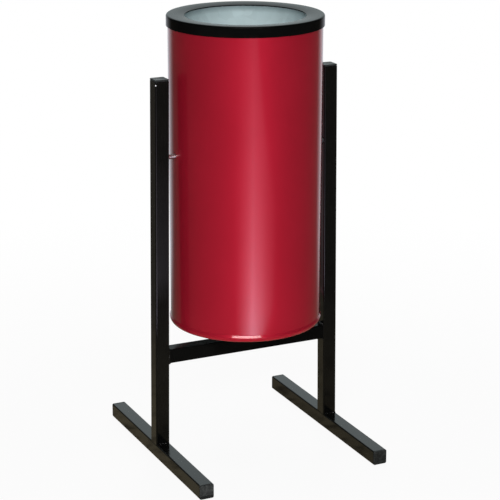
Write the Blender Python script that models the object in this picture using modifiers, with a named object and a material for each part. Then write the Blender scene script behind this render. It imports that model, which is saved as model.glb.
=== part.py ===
"""Free-standing ashtray bin: a round steel bin hung on two pivots in a square-tube stand.

Metres, +Z up. The origin is on the ground, midway between the feet. +X runs along the pivot
axis from the left post to the right one, and -Y is the front.
"""

import math

import bmesh
import bpy
from mathutils import Matrix, Vector

# Clearances between touching pieces
FIT_GAP = 0.0003
PIVOT_PLAY = 0.0004
RING_PLAY = 0.0006
CUT_PAST = 0.002

# Square tube of the stand
TUBE_SIDE = 0.025
TUBE_WALL = 0.002
TUBE_CORNER = 0.002
BORE_CORNER = 0.0005

# Stand: feet on the ground, a crossbar low down, posts that lean in towards the bin
FOOT_LENGTH = 0.400
CROSSBAR_UNDERSIDE = 0.172
POST_ABOVE_PIVOT = 0.134
POST_LEAN = 0.012
SIDE_GAP = 0.0153

# Plastic plugs in the open tube ends
PLUG_LIP = 0.003
PLUG_STEM = 0.014
PLUG_WALL = 0.002
PLUG_EDGE = 0.001

# Bin of rolled sheet: its own height below and above the pivot, and its turned-in lower edge
BIN_RADIUS = 0.130
BIN_SHEET = 0.0012
BIN_BELOW_PIVOT = 0.304
SHELL_ABOVE_PIVOT = 0.227
SWING_CLEAR = 0.007
EDGE_ROLL = 0.006
SHELL_LIP = 0.010
BASE_UPSTAND = 0.018

# Lid: black ring with a skirt, and the ash bowl that hangs under it
RING_WALL = 0.002
RING_SKIRT = 0.018
RING_EDGE = 0.003
RING_INNER_RADIUS = 0.1015
RING_DIP = 0.002
BOWL_SHEET = 0.001
BOWL_SETBACK = 0.0015
BOWL_NECK = 0.006
BOWL_DEPTH = 0.046
DROP_HOLE_RADIUS = 0.022

# Pivots: hexagon bolts from inside the bin into threaded inserts in the posts
BOLT_RADIUS = 0.004
BOLT_HEAD_FLATS = 0.013
BOLT_HEAD_HEIGHT = 0.0053
BOLT_REACH = 0.016
WASHER_RADIUS = 0.0085
WASHER_THICKNESS = 0.0016
INSERT_RADIUS = 0.0055
INSERT_FLANGE_RADIUS = 0.0075
INSERT_FLANGE = 0.0012
INSERT_LENGTH = 0.014
PLATE_THICKNESS = 0.003
PLATE_WIDTH = 0.050
PLATE_HEIGHT = 0.070
PLATE_CORNER = 0.006

# Facets of round shapes
TURNED_STEPS = 64
SMALL_STEPS = 24
ARC_STEPS = 4
BOWL_STEPS = 8
PLUG_EDGE_STEPS = 2
AXIS_MERGE = 0.00001

# Heights and widths that follow from the sizes above
FOOT_TOP = TUBE_SIDE
CROSSBAR_TOP = CROSSBAR_UNDERSIDE + TUBE_SIDE
PIVOT_HEIGHT = CROSSBAR_TOP + SWING_CLEAR + math.hypot(BIN_BELOW_PIVOT, BIN_RADIUS)
BIN_BOTTOM = PIVOT_HEIGHT - BIN_BELOW_PIVOT
SHELL_TOP = PIVOT_HEIGHT + SHELL_ABOVE_PIVOT
BOWL_FLANGE_TOP = SHELL_TOP + FIT_GAP + BOWL_SHEET
RING_TOP = BOWL_FLANGE_TOP + FIT_GAP + RING_WALL
RING_RADIUS = BIN_RADIUS + RING_PLAY + RING_WALL
POST_TOP = PIVOT_HEIGHT + POST_ABOVE_PIVOT
SHELL_INNER_RADIUS = BIN_RADIUS - BIN_SHEET
PLATE_OUTER_RADIUS = SHELL_INNER_RADIUS - FIT_GAP
PLATE_INNER_RADIUS = PLATE_OUTER_RADIUS - PLATE_THICKNESS
WASHER_SEAT = math.sqrt(PLATE_INNER_RADIUS**2 - WASHER_RADIUS**2) - FIT_GAP
HEAD_SEAT = WASHER_SEAT - WASHER_THICKNESS - FIT_GAP
SIDES = {"left": -1, "right": 1}


def post_inner(height):
    """Distance from the bin's axis to the inner face of a post at this height."""
    return BIN_RADIUS + SIDE_GAP + POST_LEAN * (PIVOT_HEIGHT - height)


def post_middle(height):
    return post_inner(height) + TUBE_SIDE / 2


# Scene, collections and materials

for old in list(bpy.data.objects):
    bpy.data.objects.remove(old)

PARTS = bpy.data.collections.new("ashtray_bin")
CUTTERS = bpy.data.collections.new("cutters")
bpy.context.scene.collection.children.link(PARTS)
bpy.context.scene.collection.children.link(CUTTERS)


def material(name, colour, roughness, metallic):
    made = bpy.data.materials.new(name)
    made.use_nodes = True
    shader = made.node_tree.nodes["Principled BSDF"]
    shader.inputs["Base Color"].default_value = (*colour, 1.0)
    shader.inputs["Roughness"].default_value = roughness
    shader.inputs["Metallic"].default_value = metallic
    return made


BLACK_PAINT = material("black_paint", (0.012, 0.012, 0.012), 0.35, 0.0)
BLACK_PLASTIC = material("black_plastic", (0.02, 0.02, 0.021), 0.45, 0.0)
RED_PAINT = material("red_paint", (0.36, 0.013, 0.028), 0.28, 0.0)
GALVANISED = material("galvanised_steel", (0.55, 0.60, 0.61), 0.45, 0.8)
ZINC_STEEL = material("zinc_steel", (0.68, 0.68, 0.66), 0.3, 1.0)


# Building blocks


def box(size, rounding=0.0, along=2):
    """A box about the origin, with its four edges along one axis rounded."""
    shape = bmesh.new()
    bmesh.ops.create_cube(shape, size=1.0)
    bmesh.ops.scale(shape, vec=size, verts=shape.verts)
    if rounding:
        across = [axis for axis in range(3) if axis != along]
        long_edges = [
            edge
            for edge in shape.edges
            if all(math.isclose(edge.verts[0].co[axis], edge.verts[1].co[axis]) for axis in across)
        ]
        bmesh.ops.bevel(
            shape,
            geom=long_edges,
            offset=rounding,
            segments=ARC_STEPS,
            profile=0.5,
            affect="EDGES",
        )
    return shape


def cylinder(radius, length, sides=SMALL_STEPS):
    """A cylinder along +Z that starts at the origin."""
    shape = bmesh.new()
    bmesh.ops.create_cone(
        shape, cap_ends=True, segments=sides, radius1=radius, radius2=radius, depth=length
    )
    bmesh.ops.translate(shape, vec=(0, 0, length / 2), verts=shape.verts)
    return shape


def lean_in(shape, side):
    """Shears a shape sideways with height, as the posts lean towards the bin."""
    shear = Matrix.Identity(4)
    shear[0][2] = -side * POST_LEAN
    bmesh.ops.transform(shape, matrix=shear, verts=shape.verts)


def mesh_from(name, shape):
    mesh = bpy.data.meshes.new(name)
    shape.to_mesh(mesh)
    shape.free()
    return mesh


def stands_at(carried):
    """World position of an empty and of the empties that carry it, none of which is turned."""
    return carried.location + stands_at(carried.parent) if carried else Vector()


def place(name, mesh, parent, position, rotation=(0, 0, 0)):
    """An object at a world position, carried by its parent empty."""
    made = bpy.data.objects.new(name, mesh)
    made.parent = parent
    made.location = Vector(position) - stands_at(parent)
    made.rotation_euler = rotation
    return made


def part(name, mesh, surface, parent, position, rotation=(0, 0, 0)):
    mesh.materials.append(surface)
    made = place(name, mesh, parent, position, rotation)
    PARTS.objects.link(made)
    return made


def cutter(name, shape, parent, position, rotation=(0, 0, 0)):
    made = place(name, mesh_from(name, shape), parent, position, rotation)
    made.hide_render = True
    made.display_type = "WIRE"
    CUTTERS.objects.link(made)
    return made


def combine(target, tool, operation="DIFFERENCE"):
    step = target.modifiers.new(tool.name, "BOOLEAN")
    step.operation = operation
    step.object = tool
    step.solver = "EXACT"


def arc(centre, radius, start, end, steps=ARC_STEPS):
    """Profile points on an arc, with angles in degrees from +X towards +Z."""
    angles = [math.radians(start + (end - start) * i / steps) for i in range(steps + 1)]
    return [
        Vector((centre[0] + radius * math.cos(a), centre[1] + radius * math.sin(a)))
        for a in angles
    ]


def inset(path, distance):
    """The path moved to its right by a distance, with mitred corners."""
    normals = []
    for start, end in zip(path, path[1:]):
        run = (end - start).normalized()
        normals.append(Vector((run.y, -run.x)))
    moved = []
    for i, point in enumerate(path):
        before = normals[max(i - 1, 0)]
        after = normals[min(i, len(normals) - 1)]
        mitre = before + after
        moved.append(point + mitre * (2 * distance / mitre.length_squared))
    return moved


def sheet(path, thickness):
    """Profile of a bent sheet: its outer side, then its inner side back again."""
    return list(path) + inset(path, thickness)[::-1]


def turned(name, profile, surface, carried, rotation=(0, 0, 0), steps=TURNED_STEPS, closed=True):
    """A part whose profile of radius and height is turned about its own Z."""
    parent, position = carried
    edges = [(i, i + 1) for i in range(len(profile) - 1)]
    if closed:
        edges.append((len(profile) - 1, 0))
    mesh = bpy.data.meshes.new(name)
    mesh.from_pydata([(point.x, 0, point.y) for point in profile], edges, [])
    made = part(name, mesh, surface, parent, position, rotation)
    turn = made.modifiers.new("turn", "SCREW")
    turn.axis = "Z"
    turn.angle = math.tau
    turn.steps = steps
    turn.render_steps = steps
    turn.use_merge_vertices = True
    turn.merge_threshold = AXIS_MERGE
    turn.use_smooth_shade = True
    return made


def carrier(name, position, parent=None):
    """An empty at a world position that carries the pieces of one body."""
    made = place(name, None, parent, position)
    PARTS.objects.link(made)
    return made


def along_x(side):
    """Rotation that turns local +Z outwards along the pivot axis."""
    return (0, side * math.pi / 2, 0)


STAND = carrier("stand", (0, 0, 0))
BIN = carrier("bin", (0, 0, PIVOT_HEIGHT))
LID = carrier("lid", (0, 0, SHELL_TOP), BIN)


# Stand: square tubes

BORE_SIDE = TUBE_SIDE - 2 * TUBE_WALL


def square_tube(name, length, axis, position, lean_side=0):
    """An open-ended tube along one axis, centred on its position."""
    outer = [TUBE_SIDE] * 3
    outer[axis] = length
    bore = [BORE_SIDE] * 3
    bore[axis] = length + 2 * CUT_PAST
    shapes = [box(outer, TUBE_CORNER, axis), box(bore, BORE_CORNER, axis)]
    for shape in shapes:
        lean_in(shape, lean_side)
    made = part(name, mesh_from(name, shapes[0]), BLACK_PAINT, STAND, position)
    combine(made, cutter(f"{name}_bore", shapes[1], STAND, position))
    return made


def end_plug(name, position, rotation=(0, 0, 0), lean_side=0):
    """A push-in plug: a lip as wide as the tube over a hollow stem in its bore."""
    stem_side = BORE_SIDE - 2 * FIT_GAP
    hollow_side = stem_side - 2 * PLUG_WALL
    lip = box((TUBE_SIDE, TUBE_SIDE, PLUG_LIP), TUBE_CORNER)
    bmesh.ops.translate(lip, vec=(0, 0, PLUG_LIP / 2), verts=lip.verts)
    rim = [edge for edge in lip.edges if all(v.co.z > PLUG_LIP - PLUG_EDGE for v in edge.verts)]
    bmesh.ops.bevel(lip, geom=rim, offset=PLUG_EDGE, segments=PLUG_EDGE_STEPS, profile=0.5, affect="EDGES")
    stem = box((stem_side, stem_side, PLUG_STEM + PLUG_LIP / 2), BORE_CORNER)
    bmesh.ops.translate(stem, vec=(0, 0, (PLUG_LIP / 2 - PLUG_STEM) / 2), verts=stem.verts)
    hollow = box((hollow_side, hollow_side, PLUG_STEM + CUT_PAST))
    bmesh.ops.translate(hollow, vec=(0, 0, -(PLUG_STEM + CUT_PAST) / 2), verts=hollow.verts)
    for shape in (lip, stem, hollow):
        lean_in(shape, lean_side)
    made = part(name, mesh_from(name, lip), BLACK_PLASTIC, STAND, position, rotation)
    combine(made, cutter(f"{name}_stem", stem, STAND, position, rotation), "UNION")
    combine(made, cutter(f"{name}_hollow", hollow, STAND, position, rotation))


foot_tube_length = FOOT_LENGTH - 2 * (PLUG_LIP + FIT_GAP)
post_bottom = FOOT_TOP + FIT_GAP
post_tube_top = POST_TOP - PLUG_LIP - FIT_GAP
post_centre = (post_bottom + post_tube_top) / 2
posts = {}
for word, side in SIDES.items():
    foot_x = side * post_middle(FOOT_TOP)
    square_tube(f"{word}_foot", foot_tube_length, 1, (foot_x, 0, TUBE_SIDE / 2))
    for end, way in {"front": -1, "rear": 1}.items():
        end_y = way * (FOOT_LENGTH / 2 - PLUG_LIP)
        turn = (-way * math.pi / 2, 0, 0)
        end_plug(f"{word}_foot_{end}_plug", (foot_x, end_y, TUBE_SIDE / 2), turn)
    posts[word] = square_tube(
        f"{word}_post",
        post_tube_top - post_bottom,
        2,
        (side * post_middle(post_centre), 0, post_centre),
        lean_side=side,
    )
    plug_seat = POST_TOP - PLUG_LIP
    end_plug(f"{word}_post_plug", (side * post_middle(plug_seat), 0, plug_seat), lean_side=side)

crossbar_half = post_inner(CROSSBAR_TOP) - FIT_GAP
square_tube("crossbar", 2 * crossbar_half, 0, (0, 0, CROSSBAR_UNDERSIDE + TUBE_SIDE / 2))


# Bin: rolled shell with its lower edge turned in, and the base pan that sits on that edge

roll_height = BIN_BOTTOM + EDGE_ROLL - PIVOT_HEIGHT
roll_radius = BIN_RADIUS - EDGE_ROLL
shell_path = [Vector((BIN_RADIUS, SHELL_ABOVE_PIVOT))]
shell_path += arc((roll_radius, roll_height), EDGE_ROLL, 0, -90)
shell_path += [Vector((roll_radius - SHELL_LIP, -BIN_BELOW_PIVOT))]
in_bin = (BIN, (0, 0, PIVOT_HEIGHT))
shell = turned("bin_shell", sheet(shell_path, BIN_SHEET), RED_PAINT, in_bin)

base_floor = -BIN_BELOW_PIVOT + BIN_SHEET + FIT_GAP
base_radius = SHELL_INNER_RADIUS - FIT_GAP
base_roll = EDGE_ROLL - BIN_SHEET - FIT_GAP
base_path = [Vector((base_radius, base_floor + BASE_UPSTAND))]
base_path += arc((roll_radius, roll_height), base_roll, 0, -90)
base_path += [Vector((0, base_floor))]
base_profile = inset(base_path, BIN_SHEET)[::-1] + base_path
turned("bin_base", base_profile, GALVANISED, in_bin, closed=False)


# Lid: ring over the shell's rim, with the ash bowl's flange caught between them

ring_path = [Vector((RING_INNER_RADIUS, RING_TOP - RING_DIP - SHELL_TOP))]
ring_path += arc(
    (RING_RADIUS - RING_EDGE, RING_TOP - RING_EDGE - SHELL_TOP), RING_EDGE, 90, 0
)
ring_path += [Vector((RING_RADIUS, RING_TOP - RING_SKIRT - SHELL_TOP))]
in_lid = (LID, (0, 0, SHELL_TOP))
turned("top_ring", sheet(ring_path, RING_WALL), BLACK_PAINT, in_lid)

# The bowl's upper side, from the drop hole out to the rim of its flange
neck_radius = RING_INNER_RADIUS + BOWL_SETBACK
flange_top = BOWL_FLANGE_TOP - SHELL_TOP
flange_dip = flange_top - RING_DIP
neck_bottom = flange_dip - BOWL_NECK
bowl_path = []
for i in range(BOWL_STEPS + 1):
    swing = math.radians(90 * (1 - i / BOWL_STEPS))
    bowl_path.append(
        Vector(
            (
                DROP_HOLE_RADIUS + (neck_radius - DROP_HOLE_RADIUS) * math.cos(swing),
                neck_bottom - BOWL_DEPTH * math.sin(swing),
            )
        )
    )
bowl_path += [Vector((neck_radius, flange_dip)), Vector((SHELL_INNER_RADIUS, flange_top))]
bowl_path += [Vector((BIN_RADIUS, flange_top))]
turned("ash_bowl", sheet(bowl_path, BOWL_SHEET), GALVANISED, in_lid)


# Pivots: plate inside the shell, washer, bolt and threaded insert on each side

head_radius = BOLT_HEAD_FLATS / 2 / math.cos(math.pi / 6)
bolt_length = post_inner(PIVOT_HEIGHT) + BOLT_REACH - HEAD_SEAT
plate_half = PLATE_HEIGHT / 2 + CUT_PAST
plate_profile = [
    Vector((PLATE_OUTER_RADIUS, plate_half)),
    Vector((PLATE_OUTER_RADIUS, -plate_half)),
    Vector((PLATE_INNER_RADIUS, -plate_half)),
    Vector((PLATE_INNER_RADIUS, plate_half)),
]
washer_profile = [
    Vector((WASHER_RADIUS, 0)),
    Vector((WASHER_RADIUS, -WASHER_THICKNESS)),
    Vector((BOLT_RADIUS + FIT_GAP, -WASHER_THICKNESS)),
    Vector((BOLT_RADIUS + FIT_GAP, 0)),
]
insert_profile = [
    Vector((BOLT_RADIUS + FIT_GAP, INSERT_LENGTH)),
    Vector((INSERT_RADIUS, INSERT_LENGTH)),
    Vector((INSERT_RADIUS, -FIT_GAP)),
    Vector((INSERT_FLANGE_RADIUS, -FIT_GAP)),
    Vector((INSERT_FLANGE_RADIUS, -FIT_GAP - INSERT_FLANGE)),
    Vector((BOLT_RADIUS + FIT_GAP, -FIT_GAP - INSERT_FLANGE)),
]
for word, side in SIDES.items():
    outwards = along_x(side)
    hole_length = BIN_RADIUS + CUT_PAST - HEAD_SEAT
    hole = cutter(
        f"{word}_pivot_hole",
        cylinder(BOLT_RADIUS + PIVOT_PLAY, hole_length),
        BIN,
        (side * HEAD_SEAT, 0, PIVOT_HEIGHT),
        outwards,
    )
    combine(shell, hole)

    outline = cutter(
        f"{word}_plate_outline",
        box((PLATE_OUTER_RADIUS, PLATE_WIDTH, PLATE_HEIGHT), PLATE_CORNER, 0),
        BIN,
        (side * PLATE_OUTER_RADIUS, 0, PIVOT_HEIGHT),
    )
    plate = turned(f"{word}_pivot_plate", plate_profile, GALVANISED, in_bin)
    combine(plate, outline, "INTERSECT")
    combine(plate, hole)

    washer_seat = (STAND, (side * WASHER_SEAT, 0, PIVOT_HEIGHT))
    washer = f"{word}_pivot_washer"
    turned(washer, washer_profile, ZINC_STEEL, washer_seat, outwards, steps=SMALL_STEPS)
    head = cylinder(head_radius, BOLT_HEAD_HEIGHT, sides=6)
    bmesh.ops.translate(head, vec=(0, 0, -BOLT_HEAD_HEIGHT), verts=head.verts)
    shank = cylinder(BOLT_RADIUS, bolt_length + BOLT_HEAD_HEIGHT / 2)
    bmesh.ops.translate(shank, vec=(0, 0, -BOLT_HEAD_HEIGHT / 2), verts=shank.verts)
    bolt_seat = (side * HEAD_SEAT, 0, PIVOT_HEIGHT)
    name = f"{word}_pivot_bolt"
    bolt = part(name, mesh_from(name, head), ZINC_STEEL, STAND, bolt_seat, outwards)
    combine(bolt, cutter(f"{name}_shank", shank, STAND, bolt_seat, outwards), "UNION")

    post_face = (side * post_inner(PIVOT_HEIGHT), 0, PIVOT_HEIGHT)
    insert = f"{word}_thread_insert"
    turned(insert, insert_profile, ZINC_STEEL, (STAND, post_face), outwards, steps=SMALL_STEPS)
    insert_hole = cylinder(INSERT_RADIUS + FIT_GAP, TUBE_WALL + 2 * CUT_PAST)
    bmesh.ops.translate(insert_hole, vec=(0, 0, -CUT_PAST), verts=insert_hole.verts)
    combine(posts[word], cutter(f"{word}_insert_hole", insert_hole, STAND, post_face, outwards))
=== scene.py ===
import math

import bmesh
import bpy
from mathutils import Euler, Matrix, Vector


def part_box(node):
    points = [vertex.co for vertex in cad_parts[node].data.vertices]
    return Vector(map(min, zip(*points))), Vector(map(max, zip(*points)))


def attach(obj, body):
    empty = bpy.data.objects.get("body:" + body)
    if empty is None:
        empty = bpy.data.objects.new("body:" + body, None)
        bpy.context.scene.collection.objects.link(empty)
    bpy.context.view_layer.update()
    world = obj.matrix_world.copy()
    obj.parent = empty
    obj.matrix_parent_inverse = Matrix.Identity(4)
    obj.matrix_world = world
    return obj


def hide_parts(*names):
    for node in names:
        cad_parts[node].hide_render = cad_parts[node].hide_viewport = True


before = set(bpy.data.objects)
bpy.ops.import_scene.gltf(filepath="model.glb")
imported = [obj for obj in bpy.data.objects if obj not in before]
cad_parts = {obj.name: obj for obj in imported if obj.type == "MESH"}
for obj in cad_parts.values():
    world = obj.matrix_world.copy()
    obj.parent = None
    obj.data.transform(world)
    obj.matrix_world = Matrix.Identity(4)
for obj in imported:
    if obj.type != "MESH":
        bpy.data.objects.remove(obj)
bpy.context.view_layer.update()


# Square tubes of the stand
# Two feet, two posts and a crossbar of 25 mm square steel tube with drawn corners, sawn to length
# and welded together. They are sprayed gloss black, more thinly on the crossbar.
TUBE_SIDE = 0.025
TUBE_WALL = 0.002
TUBE_CORNER = 0.0022
TUBE_BORE_CORNER = 0.0006
SAWN_EDGE = 0.0003
CORNER_STEPS = 6
CORNER_SHOULDER = 0.0004
WELD_SINK = 0.0006
SMOOTH_ANGLE = math.radians(38)
BLACK = (0.0026, 0.0027, 0.0026, 1)
BLACK_DUSTY = (0.0075, 0.0075, 0.0066, 1)
BLACK_REFLECTS = 0.24
BLACK_ROUGHNESS = 0.10
BAR_REFLECTS = 0.04
PEEL_NOISE = (420.0, 1.0)
PEEL_DEPTH = 0.000008
DUST_NOISE = (420.0, 3.0)
DUST_EDGES = (0.35, 0.75)
DUST_SLOPE = (0.5, 1.0)
DUST_GREYS = 0.7
DUST_DULLS = 0.04
MARKS_NOISE = (26.0, 4.0, 0.6)
MARKS_EDGES = (0.45, 0.75)
MARKS_GREY = 0.25
MARKS_DULL = 0.07
# A chip in the paint, coloured near-white as a painted glint of bare steel.
CHIP_GLINT_WHITE = (0.86, 0.86, 0.87, 1)
CHIP_DROP = 0.0053
CHIP_SIZE = (0.0019, 0.0010)
CHIP_RAGGED = 0.0008
CHIP_NOISE = (900.0, 1.0)


class Wire:
    """A node's output socket. Sums on it add Math nodes, and node() adds any other node."""

    def __init__(self, tree, socket=None):
        self.tree = tree
        self.socket = socket

    def node(self, kind, settings=None, sockets=None, output=0):
        """Adds a node with its settings, and the values or wires of its sockets."""
        made = self.tree.nodes.new(kind)
        for name, value in (settings or {}).items():
            setattr(made, name, value)
        for name, value in (sockets or {}).items():
            if isinstance(value, Wire):
                self.tree.links.new(value.socket, made.inputs[name])
            else:
                made.inputs[name].default_value = value
        return Wire(self.tree, made.outputs[output] if made.outputs else None)

    def out(self, name):
        """Another output of the same node."""
        return Wire(self.tree, self.socket.node.outputs[name])

    def math(self, operation, *terms):
        return self.node("ShaderNodeMath", {"operation": operation}, dict(enumerate(terms)))

    def __add__(self, other):
        return self.math("ADD", self, other)

    def __sub__(self, other):
        return self.math("SUBTRACT", self, other)

    def __rsub__(self, other):
        return self.math("SUBTRACT", other, self)

    def __mul__(self, other):
        return self.math("MULTIPLY", self, other)

    def __truediv__(self, other):
        return self.math("DIVIDE", self, other)

    def __pow__(self, other):
        return self.math("POWER", self, other)

    __radd__ = __add__
    __rmul__ = __mul__

    def clamped(self, low, high):
        """Runs from 0 to 1 as the value goes from low to high."""
        sockets = {"Value": self, "From Min": low, "From Max": high}
        return self.node("ShaderNodeMapRange", {}, sockets)

    def blend(self, first, second):
        """A colour between two, by this value."""
        return self.node("ShaderNodeMix", {"data_type": "RGBA"}, {0: self, 6: first, 7: second}, 2)

    def noise(self, scale, detail, roughness=0.5):
        """Noise that reads this vector."""
        sockets = {"Vector": self, "Scale": scale, "Detail": detail, "Roughness": roughness}
        return self.node("ShaderNodeTexNoise", {}, sockets)


def new_finish(name):
    """An empty material, and its Object coordinates to build on."""
    made = bpy.data.materials.new(name)
    made.use_nodes = True
    made.node_tree.nodes.clear()
    return made, Wire(made.node_tree).node("ShaderNodeTexCoord", output="Object")


def surface(place, height, depth, **sockets):
    """Ends a material: a Principled shader with a bump of this height field."""
    bump = place.node("ShaderNodeBump", {}, {"Height": height, "Strength": 1.0, "Distance": depth})
    named = {name.replace("_", " "): value for name, value in sockets.items()}
    shader = place.node("ShaderNodeBsdfPrincipled", {}, {**named, "Normal": bump})
    place.node("ShaderNodeOutputMaterial", {}, {"Surface": shader})


def black_gloss(name, reflects, roughness, chip=None):
    """Sprayed gloss black: orange peel, dust on what faces up, hand marks, and a chip if placed,
    coloured near-white as a painted glint.
    """
    made, place = new_finish(name)
    facing = place.node("ShaderNodeNewGeometry", output="Normal")
    up = place.node("ShaderNodeSeparateXYZ", {}, {0: facing}, 2)
    dust = up.clamped(*DUST_SLOPE) * place.noise(*DUST_NOISE).clamped(*DUST_EDGES)
    marks = place.noise(*MARKS_NOISE).clamped(*MARKS_EDGES)
    peel = place.noise(*PEEL_NOISE)
    colour = (dust * DUST_GREYS + marks * MARKS_GREY).blend(BLACK, BLACK_DUSTY)
    if chip:
        off = place.node("ShaderNodeVectorMath", {"operation": "DISTANCE"}, {0: place, 1: chip}, 1)
        off = off + CHIP_RAGGED * place.noise(*CHIP_NOISE)
        colour = off.clamped(*CHIP_SIZE).blend(colour, CHIP_GLINT_WHITE)
    surface(
        place,
        peel,
        PEEL_DEPTH,
        Base_Color=colour,
        Roughness=roughness + MARKS_DULL * marks + DUST_DULLS * dust,
        Specular_IOR_Level=reflects,
    )
    return made


def rounded_square(side, corner):
    """Points round a square with rounded corners, and a point on the flat beside each one."""
    half = side / 2
    flat = half - corner
    points = []
    for quarter in range(4):
        turn = Matrix.Rotation(math.radians(90 * quarter), 2)
        bend = []
        for i in range(CORNER_STEPS + 1):
            angle = math.radians(90 * i / CORNER_STEPS)
            bend.append(Vector((flat + corner * math.cos(angle), flat + corner * math.sin(angle))))
        before = Vector((half, flat - CORNER_SHOULDER))
        after = Vector((flat - CORNER_SHOULDER, half))
        points += [turn @ point for point in [before, *bend, after]]
    return points


def finished(name, mesh, finish, body, nodes):
    """Shades a mesh, gives it its finish and hands it to the body that carries it."""
    mesh.materials.clear()
    mesh.materials.append(finish)
    mesh.polygons.foreach_set("use_smooth", [True] * len(mesh.polygons))
    mesh.set_sharp_from_angle(angle=SMOOTH_ANGLE)
    made = bpy.data.objects.new(name, mesh)
    bpy.context.scene.collection.objects.link(made)
    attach(made, body)
    if nodes:
        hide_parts(*nodes)


def skin(name, rings, joined):
    """A mesh through rings of points: the last ring joins the first, or both ends are capped."""
    shape = bmesh.new()
    loops = [[shape.verts.new(point) for point in ring] for ring in rings]
    pairs = list(zip(loops, loops[1:])) + ([(loops[-1], loops[0])] if joined else [])
    for low, high in pairs:
        for i in range(len(low)):
            after = (i + 1) % len(low)
            shape.faces.new((low[i], low[after], high[after], high[i]))
    if not joined:
        shape.faces.new(loops[0][::-1])
        shape.faces.new(loops[-1])
    bmesh.ops.recalc_face_normals(shape, faces=shape.faces)
    mesh = bpy.data.meshes.new(name)
    shape.to_mesh(mesh)
    shape.free()
    return mesh


def tube_between(name, start, end, across, up):
    """A square tube between two points, with sawn ends in the plane of across and up."""
    along = (end - start).normalized()
    trim = along * SAWN_EDGE
    outer = rounded_square(TUBE_SIDE, TUBE_CORNER)
    eased = rounded_square(TUBE_SIDE - 2 * SAWN_EDGE, TUBE_CORNER)
    inner = rounded_square(TUBE_SIDE - 2 * TUBE_WALL, TUBE_BORE_CORNER)
    stations = [
        (eased, start),
        (outer, start + trim),
        (outer, end - trim),
        (eased, end),
        (inner, end),
        (inner, start),
    ]
    rings = [[at + across * p.x + up * p.y for p in outline] for outline, at in stations]
    return skin(name, rings, joined=True)


X, Y, Z = Vector((1, 0, 0)), Vector((0, 1, 0)), Vector((0, 0, 1))
SIDES = {"left": -1, "right": 1}
STAND_BLACK = black_gloss("stand_black_gloss", BLACK_REFLECTS, BLACK_ROUGHNESS)
BAR_BLACK = black_gloss("crossbar_black_gloss", BAR_REFLECTS, BLACK_ROUGHNESS)
foot_low, foot_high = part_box("right_foot")
foot_x = (foot_low.x + foot_high.x) / 2
post_low, post_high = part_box("right_post")
post_foot = Vector((post_high.x - TUBE_SIDE / 2, 0, foot_high.z - WELD_SINK))
post_head = Vector((post_low.x + TUBE_SIDE / 2, 0, post_high.z))
bar_low, bar_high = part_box("crossbar")
bar_z = (bar_low.z + bar_high.z) / 2
bar_end = bar_high.x + WELD_SINK
chip_edge = TUBE_SIDE / 2 - TUBE_CORNER * (1 - math.sqrt(0.5))
# Near the left post's top, at its front outer corner, a chip in the paint shows as a near-white
# spot: a painted glint.
chip_place = Vector((-post_head.x - chip_edge, -chip_edge, post_head.z - CHIP_DROP))
POST_BLACK = {
    "left": black_gloss("chipped_glint_black_gloss", BLACK_REFLECTS, BLACK_ROUGHNESS, chip_place),
    "right": STAND_BLACK,
}
for word, side in SIDES.items():
    name = f"{word}_foot_tube"
    middle = Vector((side * foot_x, 0, TUBE_SIDE / 2))
    foot = tube_between(name, middle + Y * foot_low.y, middle + Y * foot_high.y, X, Z)
    finished(name, foot, STAND_BLACK, "stand", [f"{word}_foot"])
    name = f"{word}_post_tube"
    mirror = Vector((side, 1, 1))
    post = tube_between(name, post_foot * mirror, post_head * mirror, X, Y)
    finished(name, post, POST_BLACK[word], "stand", [f"{word}_post"])
bar = tube_between("crossbar_tube", X * -bar_end + Z * bar_z, X * bar_end + Z * bar_z, Y, Z)
finished("crossbar_tube", bar, BAR_BLACK, "stand", ["crossbar"])


# Weld beads
# Where the posts meet the feet and the crossbar, a short bead of weld runs along each corner.
# It is laid in overlapping ripples and painted over with the stand.
BEAD_STEP = 0.0014
BEAD_RADIUS = 0.0021
BEAD_SINK = 0.0004
BEAD_FLUSH_SINK = 0.0016
BEAD_INSET = 0.0024
RIPPLE_SIDES = 8
RIPPLE_RINGS = 5
RIPPLE_LEAST = (0.82, 0.82, 0.75)
RIPPLE_MOST = (1.1, 1.1, 1.0)
BEAD_SEED = 7


def node_tree(name, inputs):
    """A Geometry Nodes tree with named inputs; gives its tree and its input node's wire."""
    tree = bpy.data.node_groups.new(name, "GeometryNodeTree")
    for label, kind in inputs.items():
        tree.interface.new_socket(label, in_out="INPUT", socket_type=f"NodeSocket{kind}")
    tree.interface.new_socket("Geometry", in_out="OUTPUT", socket_type="NodeSocketGeometry")
    return tree, Wire(tree).node("NodeGroupInput")


def end_tree(made, finish):
    """Ends a tree in plain geometry with its material."""
    plain = made.node("GeometryNodeRealizeInstances", {}, {0: made})
    coated = plain.node("GeometryNodeSetMaterial", {}, {0: plain, "Material": finish})
    coated.node("NodeGroupOutput", {}, {0: coated})


def grown(name, mesh, tree, values):
    """Runs a tree on a mesh and gives the plain mesh that comes out."""
    carrier = bpy.data.objects.new(name, mesh)
    bpy.context.scene.collection.objects.link(carrier)
    step = carrier.modifiers.new(name, "NODES")
    step.node_group = tree
    for label, value in values.items():
        step[tree.interface.items_tree[label].identifier] = value
    graph = bpy.context.evaluated_depsgraph_get()
    plain = bpy.data.meshes.new_from_object(carrier.evaluated_get(graph))
    plain.name = name
    bpy.data.objects.remove(carrier)
    return plain


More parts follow.
